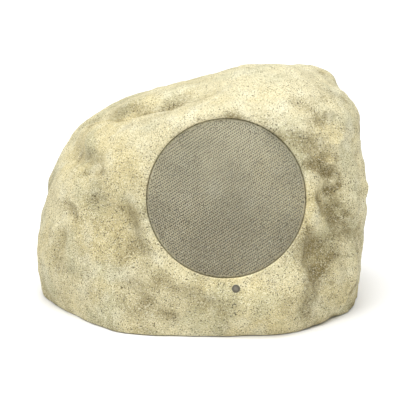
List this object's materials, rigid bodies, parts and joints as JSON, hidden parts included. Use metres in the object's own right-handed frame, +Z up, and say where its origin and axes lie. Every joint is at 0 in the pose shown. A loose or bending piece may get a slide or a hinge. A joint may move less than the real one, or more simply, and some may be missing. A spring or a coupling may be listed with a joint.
{
  "type": "bluetooth speaker",
  "caption": "Portable garden speaker in the shape of a sandstone rock, with a round perforated grille, status light, rear control panel and rubber feet.",
  "frame": {"origin": "on the ground under the middle of the rock's bounding box", "axes": "+Z up, the grille faces -Y and leans back, +X to its right as you look at it"},
  "size_m": [0.287, 0.2532, 0.2092],
  "materials": {
    "rock_resin": "rough cast sandstone",
    "grille_steel": "perforated, stone-coloured powder coat",
    "foam": "closed-cell foam",
    "black_rubber": "matte",
    "roll_rubber": "satin",
    "basket_steel": "black satin paint",
    "zinc_steel": "zinc plated",
    "motor_steel": "plated, satin",
    "ferrite": "sintered, dull",
    "cone_paper": "pressed paper pulp",
    "spider_cloth": "treated cotton",
    "former_film": "translucent film",
    "copper": "enamelled copper",
    "brass": "tinned brass",
    "fibreboard": "phenolic board",
    "smoked_lens": "smoked, frosted",
    "circuit_board": "solder mask",
    "panel_plastic": "fine spark texture",
    "base_plastic": "moulded, matte",
    "tray_plastic": "moulded, matte",
    "key_rubber": "matte silicone",
    "cell_wrap": "shrink sleeve",
    "chip_black": "moulded epoxy",
    "can_sleeve": "printed-free sleeve",
    "heat_sink_aluminium": "black anodised",
    "socket_shell": "nickel plated",
    "socket_plastic": "natural nylon",
    "lead_insulation": "soft vinyl"
  },
  "bodies": {
    "enclosure": {"rock_shell": "rock_resin", "grille": "grille_steel", "grille_gasket": "foam", "driver_gasket": "foam", "driver_basket": "basket_steel", "driver_screws": "zinc_steel", "top_plate": "motor_steel", "magnet": "ferrite", "back_plate": "motor_steel", "terminal_strip": "fibreboard", "terminal_tabs": "brass", "status_lens": "smoked_lens", "light_grommet": "black_rubber", "light_board": "circuit_board", "control_panel": "panel_plastic", "panel_gasket": "foam", "panel_screws": "zinc_steel", "control_board": "circuit_board", "control_board_screws": "zinc_steel", "button_switches": "chip_black", "usb_socket": "socket_shell", "aux_socket": "chip_black", "cover_pin": "zinc_steel", "base_plate": "base_plastic", "base_seal": "foam", "base_screws": "zinc_steel", "rubber_feet": "black_rubber", "battery_tray": "tray_plastic", "battery_cells": "cell_wrap", "battery_straps": "motor_steel", "battery_strap_screws": "zinc_steel", "battery_protection_board": "circuit_board", "main_board": "circuit_board", "main_board_screws": "zinc_steel", "amplifier_chip": "chip_black", "heat_sink": "heat_sink_aluminium", "board_capacitors": "can_sleeve", "board_inductors": "chip_black", "wireless_module": "socket_shell", "board_sockets": "socket_plastic", "speaker_leads": "lead_insulation", "battery_lead": "lead_insulation", "light_lead": "lead_insulation", "panel_lead": "lead_insulation"},
    "cone_assembly": {"cone": "cone_paper", "dust_cap": "cone_paper", "voice_coil_former": "former_film", "voice_coil": "copper", "surround": "roll_rubber", "spider": "spider_cloth"},
    "power_key": {"power_button": "key_rubber", "power_plunger": "tray_plastic"},
    "pair_key": {"pair_button": "key_rubber", "pair_plunger": "tray_plastic"},
    "volume_down_key": {"volume_down_button": "key_rubber", "volume_down_plunger": "tray_plastic"},
    "volume_up_key": {"volume_up_button": "key_rubber", "volume_up_plunger": "tray_plastic"},
    "cover": {"port_cover": "key_rubber"}
  },
  "joints": [
    {"name": "cone_travel", "type": "slide", "parent": "enclosure", "child": "cone_assembly", "axis": [0.0509, -0.971, 0.2334], "range_m": [-0.0035, 0.0035], "stiffness_N_per_m": 1500, "deforming": ["surround", "spider"]},
    {"name": "power_press", "type": "slide", "parent": "enclosure", "child": "power_key", "axis": [0, -0.9848, -0.1736], "range_m": [0, 0.0006], "stiffness_N_per_m": 800},
    {"name": "pair_press", "type": "slide", "parent": "enclosure", "child": "pair_key", "axis": [0, -0.9848, -0.1736], "range_m": [0, 0.0006], "stiffness_N_per_m": 800},
    {"name": "volume_down_press", "type": "slide", "parent": "enclosure", "child": "volume_down_key", "axis": [0, -0.9848, -0.1736], "range_m": [0, 0.0006], "stiffness_N_per_m": 800},
    {"name": "volume_up_press", "type": "slide", "parent": "enclosure", "child": "volume_up_key", "axis": [0, -0.9848, -0.1736], "range_m": [0, 0.0006], "stiffness_N_per_m": 800},
    {"name": "port_cover_hinge", "type": "hinge", "parent": "enclosure", "child": "cover", "pos_m": [-0.042, 0.10877, 0.10848], "axis": [1, 0, 0], "range_deg": [0, 110]}
  ]
}
